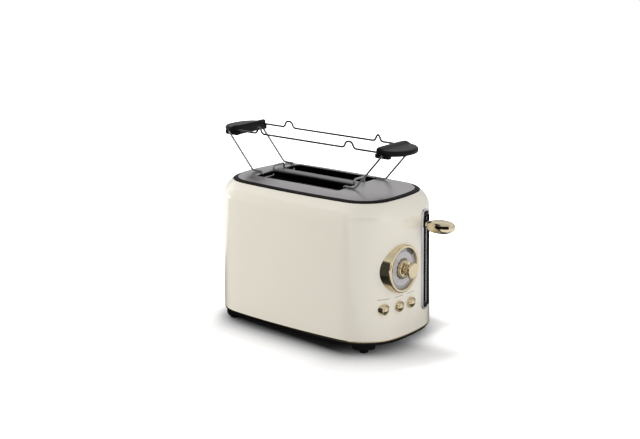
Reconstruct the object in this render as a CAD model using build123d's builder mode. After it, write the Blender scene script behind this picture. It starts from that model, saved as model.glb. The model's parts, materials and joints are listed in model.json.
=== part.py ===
from build123d import *
import os
from math import acos, asin, atan, atan2, cos, degrees, hypot, radians, sin, sqrt

# A two-slot toaster with a bun rack on top. Millimetres, +Z up, +X towards the end with the
# controls, -Y towards the long side that is seen first. The origin is on the surface that the
# feet stand on, under the middle of the overall length.

os.makedirs("parts", exist_ok=True)

# Body seen from above: two bowed sides, two bowed ends and four large corners
half_length = 143.0
half_width = 85.0
side_radius = 1130.0
end_radius = 217.0
corner_radius = 59.5

# Heights, from the surface that it stands on
pad_height = 6.0
block_height = 6.0
skirt_height = 3.0
band_height = 3.0
shell_top = 196.8       # that the shoulder would reach if it ran on
deck_edge_level = 194.6
deck_level = 201.0

# Sheet and moulding thicknesses
shell_wall = 1.0
deck_sheet = 1.2
base_wall = 2.0
chassis_sheet = 1.2
reflector_sheet = 0.8
card_thickness = 0.8

# Clearances
seat_gap = 0.3          # between a loose or moving piece and its seat
pivot_gap = 0.05        # radial, of a shaft that turns or slides in its hole

# Shoulder and deck
wall_slope = 0.015      # how far the walls lean in for each millimetre that they rise
shoulder_radius = 27.0
crown_radius = 80.0     # of the deck's curve down to its edge
opening_inset = 15.0    # from the body's outline to the edge of the deck's opening
gasket_width = 6.7
gasket_depth = 6.0
gasket_rise = 0.3       # of the gasket above the shell's edge and the deck's
slot_shift = -11.2      # the slots and the rack stand off the body's middle by this
slot_half_length = 70.2
slot_width = 36.8
strip_width = 14.2
slot_corner = 4.5
lip_wall = 2.8
lip_roll = 2.2
lip_depth = 9.0

# Base, feet and crumb tray
skirt_inset = 2.5
band_width = 4.0
base_rim = 8.0          # how far the base's inner wall stands above the skirt
pad_rounding = 1.0
rod_seat = 6.0          # height of the guide rod's seat on the floor
foot_inset = 12.0       # from the outline to a foot's centre, square to the corner
foot_direction = 52.7   # from the X axis, in degrees
block_radius = 14.5
pad_radius = 5.5
window_half_width = 36.0
tray_half_width = 41.5
tray_sheet = 1.0
tray_depth = 4.5
tray_reach = 137.0      # from the body's middle to the tray's pull
tray_outer_end = 125.0
tray_inner_end = 78.0
pull_half_width = 30.0
pull_drop = 2.5
rail_overhang = 3.0
rail_sheet = 1.2
rail_web = 2.0

# Heating chamber
plate_gap = 2.2         # from a slot's lip to the end plate
chamber_half_width = 58.0
flange_width = 12.0
card_half_height = 64.0
card_middle = 108.0
outer_card_y = 47.0
ribbon_count = 9
ribbon_pitch = 13.0
ribbon_height = 2.2
ribbon_thickness = 0.3
ribbon_margin = 7.0

# Bread guards
guard_margin = 3.2      # from a slot's edge to the guard's wires
guard_pivot_z = 48.0
guard_height = 124.0
guard_rod = 1.2
guard_wire = 0.8
guard_wire_count = 11
guard_end_gap = 4.0
guard_tail = 3.0

# Carriage: the lever, the bracket on its guide rod, and the two bread lifters
lever_y = 28.8
lever_z = 154.2
lever_travel = 88.0
lever_arm_height = 8.0
lever_arm_thickness = 2.5
carriage_gap = 3.8      # from the chamber's end plate to the bracket
carriage_sheet = 2.0
carriage_half_width = 32.0
carriage_bottom = 122.0
carriage_top = 160.0
lifter_bottom = 129.0
lifter_height = 8.0
lifter_sheet = 1.5
lifter_pad_width = 14.0
lifter_pad_length = 4.0
lifter_pad_height = 1.2
lifter_pad_count = 7
lifter_pad_pitch = 20.0
lifter_slot = 5.0
lifter_overhang = 6.0
rod_x = 84.0
rod_radius = 2.5
sleeve_radius = 6.0
sleeve_height = 26.0
web_sheet = 3.0
web_level = 141.0
web_reach = 92.0
bracket_level = 188.0
bracket_sheet = 1.2
bracket_flange = 10.0
bracket_width = 40.0
spring_y = -22.0
spring_radius = 4.0
spring_wire = 1.0
spring_margin = 6.0

# Magnet that holds the carriage down
magnet_x = 105.0
magnet_y = 9.0
magnet_size = 14.0
magnet_height = 16.0
coil_wall = 2.0
coil_margin = 3.0
armature_sheet = 2.5

# Controls on the end
dial_y = -21.7
dial_z = 107.2
dial_front = 145.8      # the dial's front ring, from the body's middle
dial_base_radius = 33.0
dial_front_radius = 30.5
dial_ring = 3.8
dial_recess = 4.5
face_thickness = 1.0
cup_wall = 1.5          # of the cup behind the dial's face
dial_rounding = 0.8
knob_radius = 10.5
knob_hub_radius = 11.6
knob_hub = 5.0          # how high the hub stands on the dial's face
knob_neck_radius = 7.0
knob_cap = 4.0
knob_reach = 13.0       # how far the knob stands out of the dial's front ring
knob_bore = 10.0
knob_rounding = 1.0
shaft_radius = 3.0
shaft_seat = 6.0        # how far the shaft reaches into the potentiometer
button_middle_y = -27.0
button_pitch = 22.7
button_z = 58.8
bezel_radius = 7.0
bezel_wall = 1.4
bezel_rise = 3.7        # above the curved wall at its middle
bezel_depth = 12.0
bezel_lip = 0.8         # how far the bezel covers the edge of its hole
bezel_rounding = 0.5
button_dome = 3.0
button_travel = 2.0
button_collar = 1.0
collar_thickness = 1.5
stem_radius = 2.0

# Lever slot
trim_width = 15.2
trim_bottom = 41.1
trim_top = 173.7
trim_rise = 3.0
trim_ring = 2.4
trim_depth = 9.0
trim_lip = 1.2          # how far the trim covers the edge of its hole
trim_corner = 3.0
trim_rounding = 0.5
liner_recess = 1.2
liner_slot = 5.6
slot_margin_low = 8.0
slot_margin_high = 8.5

# Lever knob: a flattened pebble on a short neck
pebble_length = 37.0
pebble_width = 28.0
pebble_height = 16.0
pebble_start = 146.2
neck_radius = 5.0
neck_gap = 1.2          # from the slot's trim to the neck, at the bottom of the travel
arm_end = 160.0

# Circuit board and what it carries
board_x = 108.0
board_sheet = 1.6
board_bottom = 40.0
board_top = 140.0
board_near_y = -62.0
board_far_y = -1.0
post_depth = 6.0
post_width = 8.0
board_margin = 4.0      # from the board's edges to its screws
pot_radius = 8.5
pot_depth = 10.5
switch_size = 6.0
switch_depth = 4.0

# Cord bush and terminal block
bush_y = 40.0
bush_z = 34.0
bush_radius = 8.0
bush_bore = 3.7
bush_rise = 3.0
bush_lip = 1.2          # how far the bush covers the edge of its hole
terminal_x = 112.0
terminal_length = 22.0
terminal_width = 16.0
terminal_height = 10.0

# Screws
screw_radius = 1.5
screw_head_radius = 2.8
screw_head_height = 1.4
screw_length = 6.0
bracket_screw_length = 5.0
screw_y = 52.0
screw_from_plate = 4.5
bracket_screw_spread = 16.0
small_screw_radius = 1.2
small_head_radius = 2.4
board_screw_depth = 4.0

# Bun rack
wire_radius = 1.1
rack_height = 50.9      # the long wires' axis, above the deck
rack_wire_y = 28.3
hump_height = 8.4
hump_place = 76.5
wide_hump_place = 73.2
hump_top = 3.0
wide_hump_top = 9.0
hump_flank = 3.4
hump_bend = 1.5
leg_y = 32.1
leg_foot_x = 86.0
leg_lean = 0.89         # how far a leg runs out for each millimetre that it rises
foot_reach = 18.0
wire_bend = 2.5
dip_depth = 9.0
staple_y = 10.5
staple_rise = 6.0
handle_inner = 114.5
handle_outer = 151.5
handle_half_width = 32.5
handle_rise = 8.5       # of the handle's inner wall above the wires, and its drop below them
handle_drop = 7.0
handle_wall = 7.0
handle_block = 14.0
block_width = 7.0
plate_rise = 4.0        # of the handle's outer plate above the wires, and its drop below them
plate_drop = 4.6
handle_rounding = 2.0
wire_socket = 5.0

# Heights and places worked out from the sizes above
base_bottom = pad_height + block_height
floor_level = base_bottom + base_wall
band_bottom = base_bottom + skirt_height
shell_bottom = band_bottom + band_height
deck_inset = opening_inset + gasket_width
lip_bottom = deck_level - lip_depth
deck_edge_slope = acos(1 - (deck_level - deck_edge_level) / crown_radius)
opening_run = opening_inset - wall_slope * (shell_top - shoulder_radius - shell_bottom)
opening_level = shell_top - shoulder_radius + sqrt(shoulder_radius**2 - (shoulder_radius - opening_run) ** 2)
gasket_climb = deck_edge_level - opening_level
gasket_slope = atan2(gasket_climb, gasket_width) + asin(hypot(gasket_climb, gasket_width) / (2 * crown_radius))
slot_y = (strip_width + slot_width) / 2
slot_places = [(slot_shift, slot_y), (slot_shift, -slot_y)]

# The corner's arc runs smoothly into the side's arc and the end's arc
side_centre = side_radius - half_width
end_centre = half_length - end_radius
side_reach = side_radius - corner_radius
end_reach = end_radius - corner_radius
centres_apart = hypot(end_centre, side_centre)
along = (side_reach**2 - end_reach**2 + centres_apart**2) / (2 * centres_apart)
beside = sqrt(side_reach**2 - along**2)
corner_x = (along * end_centre + beside * side_centre) / centres_apart
corner_y = (along * side_centre - beside * end_centre) / centres_apart - side_centre
side_angle = degrees(asin(corner_x / side_reach))
end_angle = degrees(asin(corner_y / end_reach))

foot_x = corner_x + (corner_radius - foot_inset) * cos(radians(foot_direction))
foot_y = corner_y + (corner_radius - foot_inset) * sin(radians(foot_direction))
foot_places = [(foot_x, foot_y), (foot_x, -foot_y), (-foot_x, foot_y), (-foot_x, -foot_y)]

tray_top = base_bottom - seat_gap
tray_bottom = tray_top - tray_depth
rail_bottom = tray_bottom - seat_gap - rail_sheet
rail_y = tray_half_width + seat_gap + rail_web / 2
rail_lip_y = tray_half_width + seat_gap - rail_overhang / 2
rail_length = tray_outer_end + tray_inner_end
rail_middle = (tray_inner_end - tray_outer_end) / 2

plate_face = slot_half_length + lip_wall + plate_gap
plate_back = plate_face + chassis_sheet
control_plate_x = slot_shift + plate_back
carriage_x = control_plate_x + carriage_gap
base_screw_x = plate_back + screw_from_plate
base_screw_places = [
    (slot_shift + x_side * base_screw_x, y_side * screw_y) for x_side in (-1, 1) for y_side in (-1, 1)
]
inner_guard_y = strip_width / 2 + guard_margin
outer_guard_y = strip_width / 2 + slot_width - guard_margin
guard_places = [
    (y, guard_pivot_z) for y in (-outer_guard_y, -inner_guard_y, inner_guard_y, outer_guard_y)
]
lifter_top = lifter_bottom + lifter_height
lifter_slot_length = lever_travel + lifter_height + lifter_slot
lifter_slot_middle = (lifter_top + lifter_bottom - lever_travel) / 2

bracket_face = carriage_x + carriage_sheet
web_bottom = web_level - web_sheet / 2
web_top = web_level + web_sheet / 2
armature_bottom = web_bottom - armature_sheet
magnet_top = armature_bottom - lever_travel - seat_gap
bracket_screw_z = bracket_level - bracket_flange / 2
bracket_middle_y = (spring_y + sleeve_radius) / 2
bracket_screw_places = [
    (bracket_middle_y + side * bracket_screw_spread / 2, bracket_screw_z) for side in (-1, 1)
]

board_back = board_x - board_sheet / 2
board_front = board_x + board_sheet / 2
pot_front = board_front + pot_depth
board_screw_places = [
    (y, z)
    for y in (board_near_y + board_margin, board_far_y - board_margin)
    for z in (board_bottom + board_margin, board_top - board_margin)
]
post_x = board_back - post_depth / 2
post_places = [(post_x, board_near_y + board_margin), (post_x, board_far_y - board_margin)]

dial_window = dial_front_radius - dial_ring
cup_radius = dial_window + cup_wall
face_front = dial_front - dial_recess
cup_floor = face_front - face_thickness
cup_back = cup_floor - cup_wall
knob_back = face_front + seat_gap
knob_front = dial_front + knob_reach
button_places = [(button_middle_y + step * button_pitch, button_z) for step in (-1, 0, 1)]
button_radius = bezel_radius - bezel_wall - seat_gap
collar_radius = button_radius + button_collar
dome_radius = (button_radius**2 + button_dome**2) / (2 * button_dome)
switch_front = board_front + switch_depth
stem_end = switch_front + button_travel + seat_gap

trim_middle = (trim_top + trim_bottom) / 2
trim_length = trim_top - trim_bottom
trim_inner_corner = trim_corner - trim_lip
liner_slot_length = trim_length - slot_margin_low - slot_margin_high

wire_level = deck_level + rack_height
foot_level = deck_level + seat_gap + wire_radius
leg_top = wire_level - handle_drop + wire_socket

# The body's middle, so that the origin is under the middle of the overall length
body_x = (handle_outer - slot_shift - pebble_start - pebble_length) / 2
rack_x = body_x + slot_shift


def level(height):
    """A horizontal plane at a height, with its origin over the body's middle."""
    return Plane((body_x, 0, height))


def across(x):
    """An upright plane square to the body's length: its own X is +Y, its own Y is +Z."""
    return Plane((body_x + x, 0, 0), x_dir=(0, 1, 0), z_dir=(1, 0, 0))


def end_face(y, height):
    """How far the body's end reaches in X at a place across it and a height."""
    inset = wall_slope * (height - shell_bottom)
    if abs(y) <= (end_radius - inset) * sin(radians(end_angle)):
        return end_centre + sqrt((end_radius - inset) ** 2 - y**2)
    return corner_x + sqrt((corner_radius - inset) ** 2 - (abs(y) - corner_y) ** 2)


def plan_outline(inset):
    """The body's outline from above, drawn in by an even amount."""
    with BuildSketch() as plan:
        with BuildLine():
            CenterArc((0, side_centre), side_radius - inset, -90, side_angle)
            CenterArc(
                (corner_x, -corner_y),
                corner_radius - inset,
                side_angle - 90,
                90 - side_angle - end_angle,
            )
            CenterArc((end_centre, 0), end_radius - inset, -end_angle, end_angle)
            mirror(about=Plane.XZ)
            mirror(about=Plane.YZ)
        make_face()
    return plan.sketch


def body_form(inset, bottom, top, shoulder, lean=0):
    """A solid of the body's shape with a rounded shoulder, its walls upright or leaning in."""
    with BuildPart() as form:
        with BuildSketch(level(bottom)):
            add(plan_outline(inset))
        extrude(amount=top - bottom, taper=lean)
        fillet(form.faces().sort_by(Axis.Z)[-1].edges(), radius=shoulder)
    return form.part


def crowned_form(inset, height, slope):
    """A solid with a domed top that passes a height at an inset, with a slope there in radians."""
    return body_form(
        inset - crown_radius * (1 - sin(slope)),
        base_bottom,
        height + crown_radius * (1 - cos(slope)),
        crown_radius,
    )


def ring(inset, width, bottom, height):
    """A closed band that follows the body's outline."""
    with BuildPart() as band:
        with BuildSketch(level(bottom)):
            add(plan_outline(inset))
            add(plan_outline(inset + width), mode=Mode.SUBTRACT)
        extrude(amount=height)
    return band.part


def wire(points, bend):
    """A round wire of the rack along straight runs with rounded bends."""
    with BuildPart() as bent:
        with BuildLine() as path:
            FilletPolyline(*points, radius=bend)
        with BuildSketch(Plane(origin=path.line @ 0, z_dir=path.line % 0)):
            Circle(wire_radius)
        sweep(path=path.line)
    return bent.part


trim_front = end_face(lever_y, trim_middle) + trim_rise
neck_start = trim_front + wall_slope * (trim_middle - lever_z + lever_travel + neck_radius) + neck_gap
slot_side = Plane(
    (body_x + trim_front, lever_y, trim_middle),
    x_dir=(0, 1, 0),
    z_dir=(cos(atan(wall_slope)), 0, sin(atan(wall_slope))),
)
barrel_back = end_face(dial_y - dial_base_radius, dial_z + dial_base_radius)
dial_side = Plane((body_x, dial_y, dial_z), x_dir=(1, 0, 0), z_dir=(0, -1, 0))
dial_axis = Axis((body_x, dial_y, dial_z), (1, 0, 0))
bush_slope = asin((bush_y - corner_y) / corner_radius)
bush_plane = Plane(
    (body_x - end_face(bush_y, bush_z), bush_y, bush_z),
    x_dir=(0, 0, 1),
    z_dir=(-cos(bush_slope), sin(bush_slope), 0),
)

wall_lean = degrees(atan(wall_slope))
body_outside = body_form(0, shell_bottom, shell_top, shoulder_radius, wall_lean)
shell_cavity = body_form(
    shell_wall, shell_bottom, shell_top - shell_wall, shoulder_radius - shell_wall, wall_lean
)
deck_crown = crowned_form(deck_inset, deck_edge_level, deck_edge_slope)
deck_underside = deck_crown.moved(Location((0, 0, -deck_sheet)))
gasket_crown = crowned_form(opening_inset, opening_level + gasket_rise, gasket_slope)

# Outer shell: thin painted steel, open below, with its holes for the deck and the controls
with BuildPart() as outer_shell:
    add(body_outside)
    add(shell_cavity, mode=Mode.SUBTRACT)
    with BuildSketch(level(shell_top - shoulder_radius)):
        add(plan_outline(opening_inset))
    extrude(amount=shoulder_radius, mode=Mode.SUBTRACT)
    with BuildSketch(across(corner_x)):
        with Locations((dial_y, dial_z)):
            Circle(cup_radius)
        with Locations(*button_places):
            Circle(bezel_radius - bezel_lip)
    extrude(amount=half_length - corner_x, mode=Mode.SUBTRACT)
    with BuildSketch(slot_side):
        RectangleRounded(trim_width - 2 * trim_lip, trim_length - 2 * trim_lip, trim_inner_corner)
    extrude(amount=-trim_depth, mode=Mode.SUBTRACT)
    with BuildSketch(bush_plane):
        Circle(bush_radius - bush_lip)
    extrude(amount=bush_rise, both=True, mode=Mode.SUBTRACT)
outer_shell.part.label = "outer_shell"
export_step(outer_shell.part, "parts/outer_shell.step")

# Gold band under the shell's edge
with BuildPart() as base_band:
    add(ring(0, band_width, band_bottom, band_height))
base_band.part.label = "base_band"
export_step(base_band.part, "parts/base_band.step")

# Black base: floor, skirt, inner rim, foot blocks, rails for the crumb tray and posts for the board
base_skirt = ring(skirt_inset, band_width + base_wall - skirt_inset, base_bottom, skirt_height)
base_inner_rim = ring(band_width, base_wall, band_bottom, base_rim)

with BuildPart() as base_tray:
    with BuildSketch(level(base_bottom)):
        add(plan_outline(skirt_inset))
        with Locations((slot_shift, 0)):
            Rectangle(2 * slot_half_length, 2 * window_half_width, mode=Mode.SUBTRACT)
    extrude(amount=base_wall)
    add(base_skirt)
    add(base_inner_rim)
    with BuildSketch(level(pad_height)):
        with Locations(*foot_places):
            Circle(block_radius)
        add(plan_outline(skirt_inset), mode=Mode.INTERSECT)
    extrude(amount=block_height)
    with BuildSketch(level(rail_bottom)):
        with Locations((rail_middle, rail_y), (rail_middle, -rail_y)):
            Rectangle(rail_length, rail_web)
    extrude(amount=base_bottom - rail_bottom)
    with BuildSketch(level(rail_bottom)):
        with Locations((rail_middle, rail_lip_y), (rail_middle, -rail_lip_y)):
            Rectangle(rail_length, rail_overhang)
    extrude(amount=rail_sheet)
    with BuildSketch(level(floor_level)):
        with Locations(*post_places):
            Rectangle(post_depth, post_width)
    extrude(amount=board_top - floor_level)
    with BuildSketch(level(floor_level)):
        with Locations((rod_x, 0)):
            Circle(sleeve_radius)
    extrude(amount=rod_seat)
    with BuildSketch(level(base_bottom)):
        with Locations(*base_screw_places):
            Circle(screw_radius)
    extrude(amount=base_wall, mode=Mode.SUBTRACT)
    with BuildSketch(level(floor_level)):
        with Locations((rod_x, 0)):
            Circle(rod_radius)
    extrude(amount=rod_seat, mode=Mode.SUBTRACT)
    with BuildSketch(across(board_back - board_screw_depth)):
        with Locations(*board_screw_places):
            Circle(small_screw_radius)
    extrude(amount=board_screw_depth, mode=Mode.SUBTRACT)
base_tray.part.label = "base_tray"
export_step(base_tray.part, "parts/base_tray.step")

# Four rubber pads under the foot blocks
with BuildPart() as rubber_feet:
    with BuildSketch(level(0)):
        with Locations(*foot_places):
            Circle(pad_radius)
    extrude(amount=pad_height)
    fillet(rubber_feet.edges().group_by(Axis.Z)[0], radius=pad_rounding)
rubber_feet.part.label = "rubber_feet"
export_step(rubber_feet.part, "parts/rubber_feet.step")

# Black gasket between the shell and the deck
with BuildPart() as deck_gasket:
    add(ring(opening_inset, gasket_width, opening_level - gasket_depth, deck_level))
    add(gasket_crown, mode=Mode.INTERSECT)
deck_gasket.part.label = "deck_gasket"
export_step(deck_gasket.part, "parts/deck_gasket.step")

# Steel deck, crowned: its two slots have rolled lips that reach down into the chamber
with BuildPart() as deck_plate:
    with BuildSketch(level(deck_edge_level - deck_sheet)):
        add(plan_outline(deck_inset))
    extrude(amount=deck_level - deck_edge_level + deck_sheet)
    add(deck_underside, mode=Mode.SUBTRACT)
    with BuildSketch(level(lip_bottom)):
        with Locations(*slot_places):
            RectangleRounded(
                2 * (slot_half_length + lip_wall), slot_width + 2 * lip_wall, slot_corner + lip_wall
            )
    extrude(amount=lip_depth)
    add(deck_crown, mode=Mode.INTERSECT)
    with BuildSketch(level(lip_bottom)):
        with Locations(*slot_places):
            RectangleRounded(2 * slot_half_length, slot_width, slot_corner)
    extrude(amount=lip_depth, mode=Mode.SUBTRACT)
    rim_edges = deck_plate.edges().filter_by(
        lambda edge: edge.center().Z > opening_level + lip_depth / 2
        and strip_width / 2 - seat_gap < abs(edge.center().Y) < strip_width / 2 + slot_width + seat_gap
        and abs(edge.center().X - rack_x) < slot_half_length + seat_gap
    )
    fillet(rim_edges, radius=lip_roll)
deck_plate.part.label = "deck_plate"
export_step(deck_plate.part, "parts/deck_plate.step")

# Chrome frame of the lever's slot: a rim on the shell and a tube through it
with BuildPart() as lever_slot_trim:
    with BuildSketch(slot_side):
        RectangleRounded(trim_width, trim_length, trim_corner)
    extrude(amount=-trim_depth)
    add(body_outside, mode=Mode.SUBTRACT)
    with BuildSketch(slot_side):
        RectangleRounded(trim_width - 2 * trim_lip, trim_length - 2 * trim_lip, trim_inner_corner)
    extrude(amount=-trim_depth)
    with BuildSketch(slot_side):
        RectangleRounded(trim_width - 2 * trim_ring, trim_length - 2 * trim_ring, trim_inner_corner)
    extrude(amount=-trim_depth, mode=Mode.SUBTRACT)
    trim_edges = lever_slot_trim.faces().sort_by(Axis.X)[-1].edges()
    fillet(trim_edges, radius=trim_rounding)
lever_slot_trim.part.label = "lever_slot_trim"
export_step(lever_slot_trim.part, "parts/lever_slot_trim.step")

# Black liner inside the frame, with the slot that the lever runs in
with BuildPart() as lever_slot_liner:
    with BuildSketch(slot_side.offset(-liner_recess)):
        RectangleRounded(trim_width - 2 * trim_ring, trim_length - 2 * trim_ring, trim_inner_corner)
        with Locations((0, (slot_margin_low - slot_margin_high) / 2)):
            SlotOverall(liner_slot_length, liner_slot, rotation=90, mode=Mode.SUBTRACT)
    extrude(amount=liner_recess - trim_depth)
lever_slot_liner.part.label = "lever_slot_liner"
export_step(lever_slot_liner.part, "parts/lever_slot_liner.step")

# Gold barrel round the dial: it stands on the curved shell, with a cup that sits in the shell's hole
with BuildPart() as dial_bezel:
    with BuildSketch(dial_side):
        with BuildLine():
            Polyline(
                (barrel_back, 0),
                (barrel_back, dial_base_radius),
                (dial_front, dial_front_radius),
                (dial_front, 0),
                close=True,
            )
        make_face()
    revolve(axis=dial_axis)
    add(body_outside, mode=Mode.SUBTRACT)
    with BuildSketch(across(cup_back)):
        with Locations((dial_y, dial_z)):
            Circle(cup_radius)
    extrude(amount=dial_front - cup_back)
    with BuildSketch(across(cup_floor)):
        with Locations((dial_y, dial_z)):
            Circle(dial_window)
    extrude(amount=dial_front - cup_floor, mode=Mode.SUBTRACT)
    with BuildSketch(across(cup_back)):
        with Locations((dial_y, dial_z)):
            Circle(shaft_radius + pivot_gap)
    extrude(amount=cup_wall, mode=Mode.SUBTRACT)
    dial_edges = dial_bezel.faces().sort_by(Axis.X)[-1].edges()
    fillet(dial_edges, radius=dial_rounding)
dial_bezel.part.label = "dial_bezel"
export_step(dial_bezel.part, "parts/dial_bezel.step")

# Grey scale disc at the bottom of the cup
with BuildPart() as dial_face:
    with BuildSketch(across(cup_floor)):
        with Locations((dial_y, dial_z)):
            Circle(dial_window)
            Circle(shaft_radius + seat_gap, mode=Mode.SUBTRACT)
    extrude(amount=face_thickness)
dial_face.part.label = "dial_face"
export_step(dial_face.part, "parts/dial_face.step")

# Round gold knob: a neck and a slightly wider cap, on a shaft from the potentiometer
with BuildPart() as browning_knob:
    with BuildSketch(dial_side):
        with BuildLine():
            Polyline(
                (knob_back, 0),
                (knob_back, knob_hub_radius),
                (knob_back + knob_hub, knob_hub_radius),
                (knob_back + knob_hub, knob_neck_radius),
                (knob_front - knob_cap, knob_neck_radius),
                (knob_front - knob_cap, knob_radius),
                (knob_front, knob_radius),
                (knob_front, 0),
                close=True,
            )
        make_face()
    revolve(axis=dial_axis)
    with BuildSketch(across(knob_back)):
        with Locations((dial_y, dial_z)):
            Circle(shaft_radius)
    extrude(amount=knob_bore, mode=Mode.SUBTRACT)
    fillet(browning_knob.edges().group_by(Axis.X)[-1], radius=knob_rounding)
browning_knob.part.label = "browning_knob"
export_step(browning_knob.part, "parts/browning_knob.step")

with BuildPart() as knob_shaft:
    with BuildSketch(across(pot_front - shaft_seat)):
        with Locations((dial_y, dial_z)):
            Circle(shaft_radius)
    extrude(amount=knob_back + knob_bore - pot_front + shaft_seat)
knob_shaft.part.label = "knob_shaft"
export_step(knob_shaft.part, "parts/knob_shaft.step")

# Three push buttons, each in a gold ring that clips into the shell
for name, (y, z) in zip(("cancel", "reheat", "defrost"), button_places):
    front = end_face(y, z) + bezel_rise
    back = front - bezel_depth
    button_side = Plane((body_x, y, z), x_dir=(1, 0, 0), z_dir=(0, -1, 0))
    button_axis = Axis((body_x, y, z), (1, 0, 0))

    with BuildPart() as bezel:
        with BuildSketch(across(back)):
            with Locations((y, z)):
                Circle(bezel_radius)
        extrude(amount=bezel_depth)
        add(body_outside, mode=Mode.SUBTRACT)
        with BuildSketch(across(back)):
            with Locations((y, z)):
                Circle(bezel_radius - bezel_lip)
        extrude(amount=bezel_depth)
        with BuildSketch(across(back)):
            with Locations((y, z)):
                Circle(bezel_radius - bezel_wall)
        extrude(amount=bezel_depth, mode=Mode.SUBTRACT)
        bezel_edges = bezel.faces().sort_by(Axis.X)[-1].edges()
        fillet(bezel_edges, radius=bezel_rounding)
    bezel.part.label = f"{name}_bezel"
    export_step(bezel.part, f"parts/{name}_bezel.step")

    with BuildPart() as button:
        with BuildSketch(button_side):
            with BuildLine():
                Line((stem_end, 0), (front + button_dome, 0))
                RadiusArc((front + button_dome, 0), (front, button_radius), dome_radius)
                Polyline(
                    (front, button_radius),
                    (back - seat_gap, button_radius),
                    (back - seat_gap, collar_radius),
                    (back - seat_gap - collar_thickness, collar_radius),
                    (back - seat_gap - collar_thickness, stem_radius),
                    (stem_end, stem_radius),
                    (stem_end, 0),
                )
            make_face()
        revolve(axis=button_axis)
    button.part.label = f"{name}_button"
    export_step(button.part, f"parts/{name}_button.step")

# End plates of the heating chamber, each with a flange that is screwed to the base
for name, side in (("chassis_control_end", 1), ("chassis_cord_end", -1)):
    inner_face = slot_shift + side * plate_face
    with BuildPart() as plate:
        with BuildSketch(level(floor_level)):
            with Locations((inner_face + side * chassis_sheet / 2, 0)):
                Rectangle(chassis_sheet, 2 * chamber_half_width)
        extrude(amount=deck_level - floor_level)
        add(deck_underside, mode=Mode.INTERSECT)
        with BuildSketch(level(floor_level)):
            with Locations((inner_face + side * flange_width / 2, 0)):
                Rectangle(flange_width, 2 * chamber_half_width)
        extrude(amount=chassis_sheet)
        with BuildSketch(across(inner_face)):
            with Locations((slot_y, lifter_slot_middle), (-slot_y, lifter_slot_middle)):
                SlotOverall(lifter_slot_length, lifter_slot, rotation=90)
            with Locations(*guard_places):
                Circle(guard_rod + pivot_gap)
            if side > 0:
                with Locations(*bracket_screw_places):
                    Circle(screw_radius)
        extrude(amount=side * chassis_sheet, mode=Mode.SUBTRACT)
        with BuildSketch(level(floor_level)):
            with Locations(*base_screw_places):
                Circle(screw_radius)
        extrude(amount=chassis_sheet, mode=Mode.SUBTRACT)
    plate.part.label = name
    export_step(plate.part, f"parts/{name}.step")

# Bright side walls of the chamber, between the end plates
for name, side in (("side_reflector_front", -1), ("side_reflector_back", 1)):
    with BuildPart() as reflector:
        with BuildSketch(level(floor_level)):
            with Locations((slot_shift, side * (chamber_half_width - reflector_sheet / 2))):
                Rectangle(2 * plate_face, reflector_sheet)
        extrude(amount=deck_level - floor_level)
        add(deck_underside, mode=Mode.INTERSECT)
    reflector.part.label = name
    export_step(reflector.part, f"parts/{name}.step")

# Heater cards, with a flat ribbon that runs to and fro on each side that faces a slot
row_length = 2 * (plate_face - ribbon_margin)
link_x = (row_length - ribbon_height) / 2
for name, card_y, faces in (
    ("front", -outer_card_y, (1,)),
    ("centre", 0, (-1, 1)),
    ("back", outer_card_y, (-1,)),
):
    with BuildPart() as card:
        with BuildSketch(level(card_middle - card_half_height)):
            with Locations((slot_shift, card_y)):
                Rectangle(2 * plate_face, card_thickness)
        extrude(amount=2 * card_half_height)
    card.part.label = f"heater_card_{name}"
    export_step(card.part, f"parts/heater_card_{name}.step")

    with BuildPart() as ribbons:
        for face in faces:
            face_y = card_y + face * card_thickness / 2
            card_side = Plane((rack_x, face_y, card_middle), x_dir=(1, 0, 0), z_dir=(0, -1, 0))
            with BuildSketch(card_side):
                with GridLocations(0, ribbon_pitch, 1, ribbon_count):
                    Rectangle(row_length, ribbon_height)
                for link in range(ribbon_count - 1):
                    link_z = (link + 1 - ribbon_count / 2) * ribbon_pitch
                    with Locations(((-1) ** link * link_x, link_z)):
                        Rectangle(ribbon_height, ribbon_pitch)
            extrude(amount=-face * ribbon_thickness)
    ribbons.part.label = f"heater_ribbons_{name}"
    export_step(ribbons.part, f"parts/heater_ribbons_{name}.step")

# Bread guards: upright wires between a top rod and a pivot rod that turns in the end plates
guard_half_length = plate_face - guard_end_gap
wire_step = 2 * (guard_half_length - guard_rod) / (guard_wire_count - 1)
for name, (guard_y, pivot_z) in zip(("front_outer", "front_inner", "back_inner", "back_outer"), guard_places):
    with BuildPart() as guard:
        with BuildSketch(across(slot_shift - plate_back - guard_tail)):
            with Locations((guard_y, pivot_z)):
                Circle(guard_rod)
        extrude(amount=2 * (plate_back + guard_tail))
        with BuildSketch(across(slot_shift - guard_half_length)):
            with Locations((guard_y, pivot_z + guard_height)):
                Circle(guard_rod)
        extrude(amount=2 * guard_half_length)
        with BuildSketch(level(pivot_z)):
            with Locations((slot_shift, guard_y)):
                with GridLocations(wire_step, 0, guard_wire_count, 1):
                    Circle(guard_wire)
        extrude(amount=guard_height)
    guard.part.label = f"guard_{name}"
    export_step(guard.part, f"parts/guard_{name}.step")

# Bread lifters: an upright strip through both end plates, with short shelves across its top edge
lifter_end = slot_shift - plate_back - lifter_overhang
for name, side in (("lifter_front", -1), ("lifter_back", 1)):
    with BuildPart() as lifter:
        with BuildSketch(level(lifter_bottom)):
            with Locations(((carriage_x + lifter_end) / 2, side * slot_y)):
                Rectangle(carriage_x - lifter_end, lifter_sheet)
        extrude(amount=lifter_height)
        with BuildSketch(level(lifter_top)):
            with Locations((slot_shift, side * slot_y)):
                with GridLocations(lifter_pad_pitch, 0, lifter_pad_count, 1):
                    Rectangle(lifter_pad_length, lifter_pad_width)
        extrude(amount=lifter_pad_height)
    lifter.part.label = name
    export_step(lifter.part, f"parts/{name}.step")

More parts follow.
